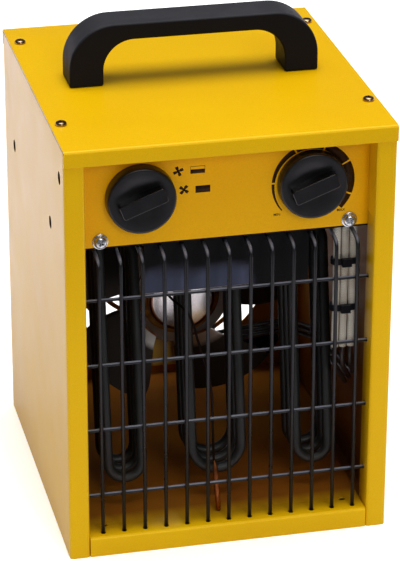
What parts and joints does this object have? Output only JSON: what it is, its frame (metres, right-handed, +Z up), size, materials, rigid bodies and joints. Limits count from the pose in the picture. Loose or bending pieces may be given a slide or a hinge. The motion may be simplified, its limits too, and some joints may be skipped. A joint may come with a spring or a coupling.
{
  "type": "forced air heater",
  "caption": "Portable box-shaped forced air heater with a carrying handle, two turning knobs, a wire front grille, coiled heating elements and a fan behind them.",
  "frame": {"origin": "under the middle of the whole heater with its cord gland, on the surface that it stands on", "axes": "+Z up, +X to the right and +Y to the back, seen from the grille side"},
  "size_m": [0.2, 0.2282, 0.308],
  "materials": {
    "yellow_paint": "semi-gloss powder coat",
    "panel_paint": "semi-gloss powder coat, a more orange yellow",
    "black_plastic": "satin moulded black",
    "black_wire": "satin black coating on wire",
    "element_steel": "dark oxidised tube",
    "zinc": "bright zinc plating",
    "dark_screw": "dark bronze plating",
    "aluminium": "bright pressed sheet",
    "copper": "copper tube, slightly dulled",
    "lamination": "stacked laminations",
    "steel": "turned steel",
    "lead_sleeve": "braided white sleeve over a dark lead",
    "switch_plastic": "pale moulded plastic",
    "galvanised": "galvanised sheet",
    "dark_sheet": "glossy dark sheet",
    "coil_tape": "varnished winding tape",
    "brass": "plain brass"
  },
  "bodies": {
    "case": {"right_panel": "yellow_paint", "left_panel": "yellow_paint", "base_plate": "yellow_paint", "top_cover": "yellow_paint", "rear_panel": "yellow_paint", "control_panel": "panel_paint", "handle": "black_plastic", "cable_tie_upper": "black_plastic", "cable_tie_lower": "black_plastic", "gland_body": "black_plastic", "gland_dome_nut": "black_plastic", "gland_lock_nut": "black_plastic", "front_grille": "black_wire", "element_left": "element_steel", "element_centre": "element_steel", "element_right": "element_steel", "panel_screw_left": "zinc", "panel_screw_right": "zinc", "lid_screw_front_left": "dark_screw", "lid_screw_rear_left": "dark_screw", "lid_screw_front_right": "dark_screw", "lid_screw_rear_right": "dark_screw", "handle_screw_left": "dark_screw", "handle_screw_right": "dark_screw", "rear_screw_lower_left": "dark_screw", "rear_screw_upper_left": "dark_screw", "rear_screw_lower_right": "dark_screw", "rear_screw_upper_right": "dark_screw", "motor_front_bracket": "aluminium", "motor_rear_bracket": "aluminium", "sensor_capillary": "copper", "motor_stator": "lamination", "thermal_cutout": "steel", "motor_screw_left": "steel", "motor_screw_right": "steel", "motor_spacer_left": "steel", "motor_spacer_right": "steel", "motor_lead_1": "lead_sleeve", "motor_lead_2": "lead_sleeve", "motor_lead_3": "lead_sleeve", "rotary_switch": "switch_plastic", "terminal_block": "switch_plastic", "partition_tray": "galvanised", "thermostat_body": "galvanised", "heat_shield": "dark_sheet", "motor_coil": "coil_tape", "element_nut_1": "brass", "element_nut_2": "brass", "element_nut_3": "brass", "element_nut_4": "brass", "element_nut_5": "brass", "element_nut_6": "brass"},
    "selector": {"selector_knob": "black_plastic", "selector_spindle": "steel"},
    "thermostat": {"thermostat_knob": "black_plastic", "thermostat_spindle": "steel"},
    "fan": {"fan_impeller": "aluminium", "fan_nut": "steel", "motor_rotor": "steel"}
  },
  "joints": [
    {"name": "selector_turn", "type": "hinge", "parent": "case", "child": "selector", "pos_m": [-0.052, -0.0973, 0.2303], "axis": [0, 1, 0], "range_deg": [0, 135]},
    {"name": "thermostat_turn", "type": "hinge", "parent": "case", "child": "thermostat", "pos_m": [0.052, -0.0973, 0.2303], "axis": [0, 1, 0], "range_deg": [-17, 251]},
    {"name": "fan_spin", "type": "hinge", "parent": "case", "child": "fan", "pos_m": [0, 0.0212, 0.104], "axis": [0, 1, 0], "continuous": true}
  ]
}
